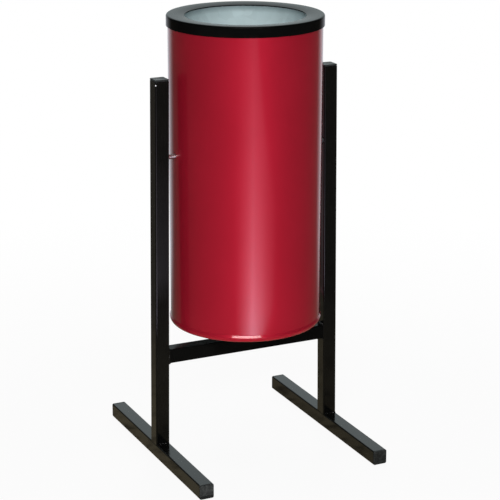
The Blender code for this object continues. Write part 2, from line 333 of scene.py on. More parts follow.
bead_tree, bead_in = node_tree(
    "weld_bead",
    {"Path": "Geometry", "Step": "Float", "Radius": "Float", "Seed": "Int", "Finish": "Material"},
)
bead_path = bead_in.node("GeometryNodeMeshToCurve", {}, {0: bead_in.out("Path")})
bead_path = bead_path.node(
    "GeometryNodeResampleCurve", {"mode": "LENGTH"}, {0: bead_path, "Length": bead_in.out("Step")}
)
ripple = bead_in.node(
    "GeometryNodeMeshUVSphere",
    {},
    {"Segments": RIPPLE_SIDES, "Rings": RIPPLE_RINGS, "Radius": bead_in.out("Radius")},
)
along_bead = bead_in.node(
    "FunctionNodeAlignRotationToVector",
    {"axis": "Z"},
    {"Vector": bead_in.node("GeometryNodeInputTangent")},
)
uneven = bead_in.node(
    "FunctionNodeRandomValue",
    {"data_type": "FLOAT_VECTOR"},
    {0: RIPPLE_LEAST, 1: RIPPLE_MOST, "Seed": bead_in.out("Seed")},
)
bead = bead_path.node(
    "GeometryNodeInstanceOnPoints",
    {},
    {"Points": bead_path, "Instance": ripple, "Rotation": along_bead, "Scale": uneven},
)
end_tree(bead, bead_in.out("Finish"))

tube_half = TUBE_SIDE / 2
bead_reach = tube_half - BEAD_INSET
bead_lines = []
for side in SIDES.values():
    seat = foot_high.z + BEAD_SINK
    for way in (-1, 1):
        corner = Vector((side * post_foot.x, way * (tube_half + BEAD_SINK), seat))
        bead_lines.append((corner - X * bead_reach, corner + X * bead_reach))
    inner = Vector((side * (post_foot.x - tube_half + BEAD_FLUSH_SINK), 0, foot_high.z))
    bead_lines.append((inner - Y * bead_reach, inner + Y * bead_reach))
    bar_face = side * (bar_high.x - BEAD_SINK)
    for way in (-1, 1):
        corner = Vector((bar_face, 0, bar_z + way * (tube_half + BEAD_SINK)))
        bead_lines.append((corner - Y * bead_reach, corner + Y * bead_reach))
        flush = Vector((side * bar_high.x, way * (tube_half - BEAD_FLUSH_SINK), bar_z))
        bead_lines.append((flush - Z * bead_reach, flush + Z * bead_reach))
bead_mesh = bpy.data.meshes.new("weld_paths")
bead_mesh.from_pydata(
    [point for line in bead_lines for point in line],
    [(2 * i, 2 * i + 1) for i in range(len(bead_lines))],
    [],
)
beads = grown(
    "weld_beads",
    bead_mesh,
    bead_tree,
    {"Step": BEAD_STEP, "Radius": BEAD_RADIUS, "Seed": BEAD_SEED, "Finish": STAND_BLACK},
)
finished("weld_beads", beads, STAND_BLACK, "stand", [])


# End plugs
# Square push-in plugs of black plastic close the tube ends: a lip as wide as the tube over a
# hollow stem in its bore, with a fine step under the lip.
PLUG_LIP = 0.003
PLUG_STEM = 0.014
PLUG_STEM_SIDE = 0.0204
PLUG_WALL = 0.002
PLUG_ROUND = 0.0011
PLUG_ROUND_STEPS = 5
PLUG_STEP = 0.0004
PLUG_STEP_TOP = 0.0006
PLUG_CORNER = 0.0024
PLUG_CORNER_SHARE = 0.125
PLUG_PANEL = 0.0032
PLUG_PANEL_DROP = 0.00025
PLUG_PANEL_SLOPE = 0.000375
PLASTIC = (0.0185, 0.0200, 0.0200, 1)
PLASTIC_RUBBED = (0.042, 0.045, 0.044, 1)
PLASTIC_REFLECTS = 0.09
PLASTIC_ROUGHNESS = 0.30
RUBBED_NOISE = (160.0, 4.0, 0.6)
RUBBED_EDGES = (0.45, 0.75)
RUBBED_DULLS = 0.14
MOULD_NOISE = (3200.0, 2.0)
MOULD_COARSE_NOISE = (900.0, 2.0)
MOULD_COARSE_SHARE = 0.5
MOULD_DEPTH = 0.00003


def moulded_plastic(name):
    """Black plastic with a fine moulded grain, rubbed a little greyer in patches."""
    made, place = new_finish(name)
    rubbed = place.noise(*RUBBED_NOISE).clamped(*RUBBED_EDGES)
    grain = place.noise(*MOULD_NOISE) + MOULD_COARSE_SHARE * place.noise(*MOULD_COARSE_NOISE)
    surface(
        place,
        grain,
        MOULD_DEPTH,
        Base_Color=rubbed.blend(PLASTIC, PLASTIC_RUBBED),
        Roughness=PLASTIC_ROUGHNESS + RUBBED_DULLS * rubbed,
        Specular_IOR_Level=PLASTIC_REFLECTS,
    )
    return made


def plug_mesh(name, seat, across, up, along):
    """A plug on the tube end at seat, built out along its own axis."""
    bore = PLUG_STEM_SIDE - 2 * PLUG_WALL
    neck = TUBE_SIDE - 2 * PLUG_STEP
    panel = TUBE_SIDE - 2 * PLUG_PANEL
    outlines = [
        (bore, 0.0),
        (bore, -PLUG_STEM),
        (PLUG_STEM_SIDE, -PLUG_STEM),
        (PLUG_STEM_SIDE, 0.0),
        (neck, 0.0),
        (neck, PLUG_STEP),
        (TUBE_SIDE, PLUG_STEP_TOP),
    ]
    for i in range(PLUG_ROUND_STEPS + 1):
        bend = math.radians(90 * i / PLUG_ROUND_STEPS)
        inset = PLUG_ROUND * (1 - math.cos(bend))
        outlines.append((TUBE_SIDE - 2 * inset, PLUG_LIP - PLUG_ROUND * (1 - math.sin(bend))))
    outlines.append((panel, PLUG_LIP))
    outlines.append((panel - 2 * PLUG_PANEL_SLOPE, PLUG_LIP - PLUG_PANEL_DROP))
    rings = []
    for side, height in outlines:
        outline = rounded_square(side, min(PLUG_CORNER, PLUG_CORNER_SHARE * side))
        rings.append([seat + across * p.x + up * p.y + along * height for p in outline])
    return skin(name, rings, joined=False)


PLUG_PLASTIC = moulded_plastic("plug_plastic")
plug_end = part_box("right_foot_rear_plug")[1].y - PLUG_LIP
post_plug_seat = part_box("right_post_plug")[1].z - PLUG_LIP
for word, side in SIDES.items():
    for end, way in {"front": -1, "rear": 1}.items():
        name = f"{word}_foot_{end}_cap"
        seat = Vector((side * foot_x, way * plug_end, TUBE_SIDE / 2))
        plug = plug_mesh(name, seat, X, Z, Y * way)
        node = f"{word}_foot_{end}_plug"
        finished(name, plug, PLUG_PLASTIC, "stand", [node])
    name = f"{word}_post_cap"
    seat = Vector((side * post_head.x, 0, post_plug_seat))
    plug = plug_mesh(name, seat, X, Y, Z)
    finished(name, plug, PLUG_PLASTIC, "stand", [f"{word}_post_plug"])


# Threaded inserts
# A flanged steel insert is pressed into each post's inner wall to take the pivot bolt.
# It is turned from bar and zinc plated.
INSERT_BORE = 0.0043
INSERT_RADIUS = 0.0055
INSERT_FLANGE_RADIUS = 0.0075
INSERT_FLANGE = 0.0012
INSERT_LENGTH = 0.014
INSERT_GAP = 0.0003
INSERT_EASE = 0.0003
SMALL_STEPS = 48
SWEEP_RADIUS = 1.0
SEAM_MERGE = 0.00001
ZINC = (0.62, 0.63, 0.64, 1)
ZINC_DULL = (0.40, 0.40, 0.39, 1)
ZINC_ROUGHNESS = 0.22
DULLED_NOISE = (240.0, 4.0, 0.65)
DULLED_EDGES = (0.4, 0.7)
DULLED_ROUGHENS = 0.16
SCRATCH_STRETCH = (180.0, 2600.0, 2600.0)
SCRATCH_NOISE = (1.0, 2.0)
SCRATCH_ROUGHENS = 0.08
SCRATCH_DEPTH = 0.00002


def zinc_plate(name):
    """Bright zinc plate with fine scratches and slightly dulled patches."""
    made, place = new_finish(name)
    dulled = place.noise(*DULLED_NOISE).clamped(*DULLED_EDGES)
    streaks = place.node("ShaderNodeMapping", {}, {0: place, "Scale": SCRATCH_STRETCH})
    scratches = streaks.noise(*SCRATCH_NOISE)
    surface(
        place,
        scratches,
        SCRATCH_DEPTH,
        Base_Color=dulled.blend(ZINC, ZINC_DULL),
        Roughness=ZINC_ROUGHNESS + DULLED_ROUGHENS * dulled + SCRATCH_ROUGHENS * scratches,
        Metallic=1.0,
    )
    return made


turned_tree, turned_in = node_tree(
    "turned_piece", {"Profile": "Geometry", "Steps": "Int", "Finish": "Material"}
)
turn_path = turned_in.node(
    "GeometryNodeCurvePrimitiveCircle",
    {},
    {"Resolution": turned_in.out("Steps"), "Radius": SWEEP_RADIUS},
)
turn_profile = turned_in.node("GeometryNodeMeshToCurve", {}, {0: turned_in.out("Profile")})
turned_skin = turned_in.node(
    "GeometryNodeCurveToMesh", {}, {"Curve": turn_path, "Profile Curve": turn_profile}
)
turned_skin = turned_in.node(
    "GeometryNodeMergeByDistance", {}, {0: turned_skin, "Distance": SEAM_MERGE}
)
end_tree(turned_skin, turned_in.out("Finish"))


def turned(name, profile, steps, finish, closed=True):
    """A profile of radius and height, turned about Z. An open profile starts and ends on Z."""
    count = len(profile)
    mesh = bpy.data.meshes.new(f"{name}_profile")
    mesh.from_pydata(
        [(radius - SWEEP_RADIUS, -height, 0) for radius, height in profile],
        [(i, (i + 1) % count) for i in range(count if closed else count - 1)],
        [],
    )
    made = grown(name, mesh, turned_tree, {"Steps": steps, "Finish": finish})
    shape = bmesh.new()
    shape.from_mesh(made)
    bmesh.ops.recalc_face_normals(shape, faces=shape.faces)
    shape.to_mesh(made)
    shape.free()
    return made


def on_pivot(side, seat, height):
    """Turns a piece made along Z to point outwards along the pivot axis from seat."""
    turn = Matrix.Rotation(side * math.pi / 2, 4, "Y")
    return Matrix.Translation((side * seat, 0, height)) @ turn


PIVOT_ZINC = zinc_plate("pivot_zinc")
insert_low, insert_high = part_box("right_thread_insert")
pivot_z = (insert_low.z + insert_high.z) / 2
post_face = insert_low.x + INSERT_FLANGE + INSERT_GAP
flange_face = -INSERT_GAP - INSERT_FLANGE
insert_profile = [
    (INSERT_BORE, INSERT_LENGTH),
    (INSERT_RADIUS - INSERT_EASE, INSERT_LENGTH),
    (INSERT_RADIUS, INSERT_LENGTH - INSERT_EASE),
    (INSERT_RADIUS, -INSERT_GAP),
    (INSERT_FLANGE_RADIUS, -INSERT_GAP),
    (INSERT_FLANGE_RADIUS, flange_face + INSERT_EASE),
    (INSERT_FLANGE_RADIUS - INSERT_EASE, flange_face),
    (INSERT_BORE + INSERT_EASE, flange_face),
    (INSERT_BORE, flange_face + INSERT_EASE),
]
for word, side in SIDES.items():
    name = f"{word}_insert"
    insert = turned(name, insert_profile, SMALL_STEPS, PIVOT_ZINC)
    insert.transform(on_pivot(side, post_face, pivot_z))
    finished(name, insert, PIVOT_ZINC, "stand", [f"{word}_thread_insert"])


# Bin shell
# Sheet steel rolled into a drum and lapped at the back, with its lower edge beaded and turned in.
# It is powder coated in a deep glossy red, and hangs on the two pivots.
SHELL_SHEET = 0.0012
SHELL_ROLL = 0.006
SHELL_LIP = 0.010
ROLL_TALLER = 1.35
EDGE_BEAD = 0.0018
EDGE_BEAD_RISE = 0.0038
EDGE_BEAD_EASE = 0.05
EDGE_BEAD_CREASE = 0.0003
EDGE_BEAD_STEPS = 12
ROLL_STEPS = 10
DRUM_STEPS = 192
PIVOT_HOLE = 0.0044
PIVOT_HOLE_REACH = 0.012
LAP_WIDTH = 0.011
LAP_RISE = 0.0009
LAP_EDGE_RISE = 0.00009
LAP_CLEAR = 0.0035
LAP_EASE = 0.0006
LAP_STEPS = 6
RED = (0.385, 0.0098, 0.0260, 1)
RED_DEEP = (0.365, 0.0090, 0.0240, 1)
RED_FLAKE = 0.45
RED_ROUGHNESS = 0.48
DRIFT_NOISE = (9.0, 2.0)
DRIFT_EDGES = (0.35, 0.65)
HANDLED_NOISE = (34.0, 5.0, 0.62)
HANDLED_EDGES = (0.5, 0.8)
HANDLED_DULLS = 0.05
POWDER_NOISE = (520.0, 1.0)
POWDER_FINE_NOISE = (1500.0, 1.0)
POWDER_FINE_SHARE = 0.4
POWDER_DEPTH = 0.000025
LACQUER_INDEX = 1.33
LACQUER_ROUGHNESS = 0.11


def red_powder(name):
    """Red powder coat: soft gloss with fine orange peel and a faint drift of tone."""
    made, place = new_finish(name)
    drift = place.noise(*DRIFT_NOISE).clamped(*DRIFT_EDGES)
    handled = place.noise(*HANDLED_NOISE).clamped(*HANDLED_EDGES)
    peel = place.noise(*POWDER_NOISE) + POWDER_FINE_SHARE * place.noise(*POWDER_FINE_NOISE)
    surface(
        place,
        peel,
        POWDER_DEPTH,
        Base_Color=drift.blend(RED, RED_DEEP),
        Roughness=RED_ROUGHNESS + HANDLED_DULLS * handled,
        Metallic=RED_FLAKE,
        Specular_IOR_Level=0.0,
        Coat_Weight=1.0,
        Coat_Roughness=LACQUER_ROUGHNESS,
        Coat_IOR=LACQUER_INDEX,
    )
    return made


def bend_points(middle, radius, start, end, steps, taller=1.0):
    """Points on a bend of a profile, with angles in degrees from outwards towards up."""
    points = []
    for i in range(steps + 1):
        angle = math.radians(start + (end - start) * i / steps)
        rise = taller * radius * math.sin(angle)
        points.append((middle[0] + radius * math.cos(angle), middle[1] + rise))
    return points


def drilled(name, mesh, radius, start, end):
    """Cuts a round hole through a mesh on each side, along the pivot axis."""
    target = bpy.data.objects.new(name, mesh)
    bpy.context.scene.collection.objects.link(target)
    drills = []
    for side in SIDES.values():
        shape = bmesh.new()
        bmesh.ops.create_cone(
            shape,
            cap_ends=True,
            segments=SMALL_STEPS,
            radius1=radius,
            radius2=radius,
            depth=end - start,
        )
        drill_mesh = bpy.data.meshes.new(f"{name}_drill")
        shape.to_mesh(drill_mesh)
        shape.free()
        drill_mesh.transform(on_pivot(side, (start + end) / 2, pivot_z))
        drill = bpy.data.objects.new(f"{name}_drill", drill_mesh)
        bpy.context.scene.collection.objects.link(drill)
        cut = target.modifiers.new("drill", "BOOLEAN")
        cut.operation, cut.object, cut.solver = "DIFFERENCE", drill, "EXACT"
        drills.append(drill)
    graph = bpy.context.evaluated_depsgraph_get()
    made = bpy.data.meshes.new_from_object(target.evaluated_get(graph))
    for used in [target, *drills]:
        bpy.data.objects.remove(used)
    return made


DRUM_RED = red_powder("drum_red")
shell_low, shell_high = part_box("bin_shell")
drum_wall = shell_high.x
roll_middle = (drum_wall + EDGE_BEAD - SHELL_ROLL, shell_low.z + ROLL_TALLER * SHELL_ROLL)
inner_roll = SHELL_ROLL - SHELL_SHEET
inner_taller = (ROLL_TALLER * SHELL_ROLL - SHELL_SHEET) / inner_roll
lip_radius = drum_wall - SHELL_ROLL - SHELL_LIP
crease = roll_middle[1] + EDGE_BEAD_RISE + EDGE_BEAD_CREASE


def edge_bead(offset):
    """The bead above the rolled edge, from the drum's wall out to the roll, as a smooth swell."""
    points = []
    for i in range(EDGE_BEAD_STEPS + 1):
        share = i / EDGE_BEAD_STEPS
        ease = EDGE_BEAD_EASE * math.sin(2 * math.pi * share) / (2 * math.pi)
        swell = EDGE_BEAD * (share - ease)
        points.append((drum_wall - offset + swell, roll_middle[1] + EDGE_BEAD_RISE * (1 - share)))
    return points


shell_profile = [(drum_wall, shell_high.z), (drum_wall, crease), *edge_bead(0.0)]
shell_profile += bend_points(roll_middle, SHELL_ROLL, 0, -90, ROLL_STEPS, ROLL_TALLER)[1:]
shell_profile += [(lip_radius, shell_low.z), (lip_radius, shell_low.z + SHELL_SHEET)]
shell_profile += bend_points(roll_middle, inner_roll, -90, 0, ROLL_STEPS, inner_taller)[:-1]
shell_profile += [*edge_bead(SHELL_SHEET)[::-1], (drum_wall - SHELL_SHEET, crease)]
shell_profile += [(drum_wall - SHELL_SHEET, shell_high.z)]
drum = turned("drum", shell_profile, DRUM_STEPS, DRUM_RED)
hole_start, hole_end = drum_wall - PIVOT_HOLE_REACH, drum_wall + PIVOT_HOLE_REACH
drum = drilled("drum", drum, PIVOT_HOLE, hole_start, hole_end)
finished("drum", drum, DRUM_RED, "bin", ["bin_shell"])

ring_low, ring_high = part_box("top_ring")
lap_top = ring_low.z - LAP_CLEAR
lap_bottom = crease + LAP_EASE
lap_levels = [
    (lap_bottom, True),
    (lap_bottom + LAP_EASE, False),
    (lap_top - LAP_EASE, False),
    (lap_top, True),
]
lap_rings = []
for height, at_end in lap_levels:
    over, under = [], []
    for i in range(LAP_STEPS + 1):
        sweep = LAP_WIDTH / drum_wall * (i / LAP_STEPS - 0.5)
        rise = LAP_EDGE_RISE if at_end or i in (0, LAP_STEPS) else LAP_RISE
        for radius, points in ((drum_wall + rise, over), (drum_wall - SHELL_SHEET / 2, under)):
            points.append(Vector((radius * math.sin(sweep), radius * math.cos(sweep), height)))
    lap_rings.append(over + under[::-1])
lap = skin("drum_lap", lap_rings, joined=False)
finished("drum_lap", lap, DRUM_RED, "bin", [])


# Base pan
# A shallow pressed pan closes the drum. It sits on the turned-in edge with its rim up the wall,
# and is spot welded there. Galvanised sheet, with the crystals of its zinc showing.
PAN_SHEET = 0.0012
PAN_GAP = 0.0003
PAN_RIM_STEPS = 8
PAN_BEAD_RADIUS = 0.072
PAN_BEAD_WIDTH = 0.009
PAN_BEAD_RISE = 0.0022
PAN_BEAD_STEPS = 10
PAN_CRYSTALS = 95.0
PAN_STAIN = 0.8
PAN_SOOT = 0.006
GALVANISED_PALE = (0.435, 0.53, 0.545, 1)
GALVANISED_GREY = (0.39, 0.48, 0.495, 1)
GALVANISED_STAIN = (0.29, 0.34, 0.35, 1)
# Dark zinc: soot on the pan's floor, and painted shade under the ring in the bowl.
GALVANISED_SOOT_AND_SHADE = (0.205, 0.262, 0.275, 1)
GALVANISED_METAL = 0.2
GALVANISED_ROUGHNESS = 0.62
WANDER_SCALE = 60.0
WANDER_REACH = (0.006, 0.006, 0.006)
CRYSTALS_ROUGHEN = 0.10
CRYSTALS_RELIEF = 0.6
CLOUDS_NOISE = (18.0, 5.0, 0.6)
CLOUDS_EDGES = (0.45, 0.8)
CLOUDS_ROUGHEN = 0.10
SOOT_AND_SHADE_EVEN = 0.75
ZINC_GRAIN_NOISE = (1800.0, 2.0)
ZINC_GRAIN_DEPTH = 0.00003


def galvanised(name, crystals, stain, darkening_from, darkening_to):
    """Galvanised sheet: zinc crystals, duller clouds, and a darkening that sets in between two
    heights: soot on the pan's floor, and painted shade under the ring in the bowl.
    """
    made, place = new_finish(name)
    wander = place.node("ShaderNodeTexNoise", {}, {"Vector": place, "Scale": WANDER_SCALE}, 1)
    bent = place.node(
        "ShaderNodeVectorMath",
        {"operation": "MULTIPLY_ADD"},
        {0: wander, 1: WANDER_REACH, 2: place},
    )
    cells = bent.node("ShaderNodeTexVoronoi", {}, {"Vector": bent, "Scale": crystals}, 1)
    tone = cells.node("ShaderNodeSeparateColor", {}, {0: cells})
    clouds = place.noise(*CLOUDS_NOISE).clamped(*CLOUDS_EDGES)
    height = place.node("ShaderNodeSeparateXYZ", {}, {0: place}, 2)
    soot_and_shade = height.clamped(darkening_from, darkening_to) * (SOOT_AND_SHADE_EVEN + (1 - SOOT_AND_SHADE_EVEN) * clouds)
    zinc = (stain * clouds).blend(tone.blend(GALVANISED_PALE, GALVANISED_GREY), GALVANISED_STAIN)
    grain = place.noise(*ZINC_GRAIN_NOISE) + CRYSTALS_RELIEF * tone
    surface(
        place,
        grain,
        ZINC_GRAIN_DEPTH,
        Base_Color=soot_and_shade.blend(zinc, GALVANISED_SOOT_AND_SHADE),
        Roughness=GALVANISED_ROUGHNESS + CRYSTALS_ROUGHEN * tone + CLOUDS_ROUGHEN * clouds,
        Metallic=GALVANISED_METAL,
    )
    return made


pan_low, pan_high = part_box("bin_base")
PAN_ZINC = galvanised(
    "pan_galvanised", PAN_CRYSTALS, PAN_STAIN, pan_low.z + PAN_SOOT, pan_low.z
)
pan_radius = pan_high.x
pan_roll = SHELL_ROLL - SHELL_SHEET - PAN_GAP
pan_roll_middle = (pan_radius - pan_roll, pan_low.z + pan_roll)


def pan_bead(offset):
    """The stiffening bead pressed up round the pan's floor, from its inside outwards."""
    points = []
    for i in range(PAN_BEAD_STEPS + 1):
        share = i / PAN_BEAD_STEPS
        rise = PAN_BEAD_RISE * (1 - math.cos(2 * math.pi * share)) / 2
        radius = PAN_BEAD_RADIUS + PAN_BEAD_WIDTH * (share - 0.5)
        points.append((radius, pan_low.z + offset + rise))
    return points


pan_profile = [(0.0, pan_low.z + PAN_SHEET), *pan_bead(PAN_SHEET)]
pan_profile += bend_points(pan_roll_middle, pan_roll - PAN_SHEET, -90, 0, PAN_RIM_STEPS)
pan_profile += [(pan_radius - PAN_SHEET, pan_high.z), (pan_radius, pan_high.z)]
pan_profile += bend_points(pan_roll_middle, pan_roll, 0, -90, PAN_RIM_STEPS)
pan_profile += [*pan_bead(0.0)[::-1], (0.0, pan_low.z)]
pan = turned("base_pan", pan_profile, DRUM_STEPS, PAN_ZINC, closed=False)
finished("base_pan", pan, PAN_ZINC, "bin", ["bin_base"])


# Pivot plates
# A curved doubler plate is spot welded inside the drum at each pivot, to take the bolt's load.
# Plain galvanised plate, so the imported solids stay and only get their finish.
for word in SIDES:
    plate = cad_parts[f"{word}_pivot_plate"]
    plate.data.materials.clear()
    plate.data.materials.append(PAN_ZINC)


# Pivot bolts and washers
# An M8 hexagon bolt on each side goes from inside the drum, through a washer and the plate,
# across the gap and into the post's insert. Zinc plated, with a chamfered head and rolled thread.
BOLT_RADIUS = 0.004
BOLT_FLATS = 0.013
BOLT_FACE = 0.95
BOLT_HEAD = 0.0053
BOLT_HEAD_STEPS = 8
BOLT_CHAMFER = math.tan(math.radians(30))
THREAD_PITCH = 0.00125
THREAD_DEPTH = 0.0006
THREAD_LENGTH = 0.0165
BOLT_POINT = 0.0007
WASHER_BORE = 0.0043
WASHER_RADIUS = 0.0085
WASHER_SHEET = 0.0016
WASHER_EASE = 0.0002


def bolt_rings(length):
    """Rings of a bolt from its head's top, at minus the head's height, to its point."""
    sides = 6 * BOLT_HEAD_STEPS
    turns = [2 * math.pi * i / sides for i in range(sides)]
    hexagon = []
    for turn in turns:
        swing = (turn % (math.pi / 3)) - math.pi / 6
        hexagon.append(BOLT_FLATS / 2 / math.cos(swing))
    face = BOLT_FACE * BOLT_FLATS / 2

    def ring(radii, heights):
        return [
            Vector((radius * math.cos(turn), radius * math.sin(turn), height))
            for radius, turn, height in zip(radii, turns, heights)
        ]

    def round_ring(radius, height):
        return ring([radius] * sides, [height] * sides)

    rings = [round_ring(face, -BOLT_HEAD)]
    rings.append(ring(hexagon, [-BOLT_HEAD + (r - face) * BOLT_CHAMFER for r in hexagon]))
    rings.append(ring(hexagon, [0.0] * sides))
    rings.append(round_ring(BOLT_RADIUS, 0.0))
    height = length - THREAD_LENGTH
    while height < length - BOLT_POINT - THREAD_PITCH:
        rings.append(round_ring(BOLT_RADIUS, height))
        rings.append(round_ring(BOLT_RADIUS - THREAD_DEPTH, height + THREAD_PITCH / 2))
        height += THREAD_PITCH
    rings.append(round_ring(BOLT_RADIUS, length - BOLT_POINT))
    rings.append(round_ring(BOLT_RADIUS - BOLT_POINT, length))
    return rings


bolt_low, bolt_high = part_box("right_pivot_bolt")
washer_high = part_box("right_pivot_washer")[1]
bolt_seat = bolt_low.x + BOLT_HEAD
washer_profile = [
    (WASHER_RADIUS - WASHER_EASE, 0.0),
    (WASHER_RADIUS, -WASHER_EASE),
    (WASHER_RADIUS, WASHER_EASE - WASHER_SHEET),
    (WASHER_RADIUS - WASHER_EASE, -WASHER_SHEET),
    (WASHER_BORE, -WASHER_SHEET),
    (WASHER_BORE, 0.0),
]
for word, side in SIDES.items():
    name = f"{word}_bolt"
    bolt = skin(name, bolt_rings(bolt_high.x - bolt_seat), joined=False)
    bolt.transform(on_pivot(side, bolt_seat, pivot_z))
    finished(name, bolt, PIVOT_ZINC, "stand", [f"{word}_pivot_bolt"])
    name = f"{word}_washer"
    washer = turned(name, washer_profile, SMALL_STEPS, PIVOT_ZINC)
    washer.transform(on_pivot(side, washer_high.x, pivot_z))
    finished(name, washer, PIVOT_ZINC, "stand", [f"{word}_pivot_washer"])


# Ash bowl
# A bowl spun from galvanised sheet hangs in the top of the drum by its flange. Ash stays in it,
# and a round hole in the middle lets larger bits drop through.
BOWL_SHEET = 0.001
BOWL_NECK_RADIUS = 0.103
BOWL_NECK = 0.006
BOWL_DEPTH = 0.046
BOWL_DIP = 0.002
BOWL_HOLE = 0.022
BOWL_STEPS = 40
BOWL_FLANGE_BEND = 0.1288
BOWL_CRYSTALS = 70.0
BOWL_STAIN = 0.35
BOWL_SHADE_BAND = 0.004

bowl_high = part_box("ash_bowl")[1]
bowl_radius = bowl_high.x
flange_top = bowl_high.z
neck_bottom = flange_top - BOWL_DIP - BOWL_NECK
# The darkening round the bowl's neck, just under the ring, is painted shade from the ring's
# overhang.
BOWL_ZINC = galvanised(
    "bowl_galvanised", BOWL_CRYSTALS, BOWL_STAIN, neck_bottom - BOWL_SHADE_BAND, neck_bottom + BOWL_SHADE_BAND
)


def bowl_side(offset):
    """The bowl's upper side, or its lower side a sheet's thickness away, from hole to rim."""
    reach = BOWL_NECK_RADIUS - BOWL_HOLE + offset
    drop = BOWL_DEPTH + offset
    points = []
    for i in range(BOWL_STEPS + 1):
        swing = math.radians(90 * (1 - i / BOWL_STEPS))
        radius = BOWL_HOLE + reach * math.cos(swing)
        points.append((radius, neck_bottom - drop * math.sin(swing)))
    points.append((BOWL_NECK_RADIUS + offset, flange_top - BOWL_DIP - offset))
    points.append((BOWL_FLANGE_BEND, flange_top - offset))
    points.append((bowl_radius, flange_top - offset))
    return points


bowl = turned("bowl", bowl_side(0.0) + bowl_side(BOWL_SHEET)[::-1], DRUM_STEPS, BOWL_ZINC)
finished("bowl", bowl, BOWL_ZINC, "lid", ["ash_bowl"])


# Top ring
# A black pressed steel ring with a skirt slips over the drum's rim and holds the bowl's flange.
# Its top dips a little towards the middle. Sprayed gloss black, as the stand.
RING_WALL = 0.002
RING_EDGE = 0.003
RING_EDGE_STEPS = 8
RING_INNER = 0.1015
RING_DIP = 0.002
RING_HEM = 0.0007
RING_HEM_STEPS = 6
RING_TAPER = 0.003
RING_REFLECTS = 0.018
RING_ROUGHNESS = 0.10

RING_BLACK = black_gloss("ring_black_gloss", RING_REFLECTS, RING_ROUGHNESS)
ring_radius = ring_high.x
edge_middle = (ring_radius - RING_EDGE, ring_high.z - RING_EDGE)
inner_top = ring_high.z - RING_DIP
hem_middle = (RING_INNER + RING_HEM, inner_top - RING_HEM)
ring_profile = bend_points(hem_middle, RING_HEM, 180, 90, RING_HEM_STEPS)
ring_profile += bend_points(edge_middle, RING_EDGE, 90, 0, RING_EDGE_STEPS)
ring_profile += [(ring_radius, ring_low.z), (ring_radius - RING_WALL, ring_low.z)]
ring_profile += bend_points(edge_middle, RING_EDGE - RING_WALL, 0, 90, RING_EDGE_STEPS)
ring_profile += [(RING_INNER + RING_TAPER, inner_top - RING_WALL)]
ring = turned("lid_ring", ring_profile, DRUM_STEPS, RING_BLACK)
finished("lid_ring", ring, RING_BLACK, "lid", ["top_ring"])


# Studio
# A pale floor that keeps the shadow, in a dim room with soft boxes in front, above and behind.
# Gloss mirrors a brown floor, white paper and a pale backdrop, and a lit streak on the floor.
FLOOR_SIZE = 40.0
FLOOR_DROP = 0.0004
FLOOR_PALE = (0.62, 0.62, 0.62, 1)
WHITE = (1, 1, 1, 1)
FLOOR_GLOW_NEAR = 0.93
FLOOR_NEAR = 0.45
FLOOR_FAR = 1.5
ROOM_GLOW = 0.06
ROOM_LIGHT = 0.03
BROWN_FLOOR = (0.14, 0.124, 0.100, 1)
BROWN_FLOOR_NEAR = (0.32, 0.275, 0.180, 1)
BROWN_FLOOR_EDGES = (0.9, 0.3)
MOTTLE = (0.065, 0.055, 0.040, 1)
MOTTLE_NOISE = (24.0, 3.0)
MOTTLE_EDGES = (0.5, 0.75)
PAPER_COOL = (0.90, 0.93, 1.0, 1)
PAPER_EDGES = (1.05, 0.55)
PAPER_START = (0.5, 1.1)
BACKDROP_COOL = (0.86, 0.98, 1.0, 1)
BACKDROP_TURN = math.radians(25.5)
BACKDROP_EDGES = (0.78, 0.88)
ACROSS = Vector((math.cos(BACKDROP_TURN), -math.sin(BACKDROP_TURN), 0))
ALONG = Vector((math.sin(BACKDROP_TURN), math.cos(BACKDROP_TURN), 0))
REAR_AWAY = 2.4
REAR_RISE = 0.9
SOFT_BOXES = {
    "front_soft_box": {
        "place": Vector((-1.16, -2.74, 1.9)), "aim": Z * 0.45, "size": (2.4, 0.34), "watts": 76
    },
    "top_soft_box": {
        "place": Vector((0.0, -0.1, 2.9)), "aim": Z * 0.5, "size": (1.4, 1.4), "watts": 19
    },
    "back_soft_box": {
        "place": Vector((1.0, 2.1, 3.4)), "aim": Z * 0.45, "size": (1.2, 1.2), "watts": 40
    },
    "rear_soft_box": {
        "place": ALONG * REAR_AWAY + Z * REAR_RISE, "aim": Z * 0.45, "size": (1.0, 1.0),
        "watts": 26, "mirrored": False,
    },
}
BOUNCE = {"start": 0.22, "length": 0.6, "width": 0.9, "rise": 0.006, "glow": 2.0}
STREAK = {"start": 0.72, "length": 4.6, "width": 2.6, "rise": 0.003, "glow": 1.0}
STREAK_COLOUR = (0.90, 0.80, 1.0, 1)
STREAK_GLOW = 6.4
STREAK_FALL = -1.35
STREAK_LEAN = 0.22
STREAK_EDGE = 0.56
SKIRT_GLOW = 0.28
SKIRT_START = (0.25, 0.55)
SKIRT_END = (1.15, 0.4)


def reach_along(place, way):
    """How far a place lies in a direction."""
    return place.node("ShaderNodeVectorMath", {"operation": "DOT_PRODUCT"}, {0: place, 1: way}, 1)


def ray_kinds(start):
    """Two masks: rays straight from the camera, and rays by way of a reflection or glass."""
    path = start.node("ShaderNodeLightPath", output="Is Camera Ray")
    mirrored = path.math("MAXIMUM", path.out("Is Glossy Ray"), path.out("Is Transmission Ray"))
    return path, mirrored


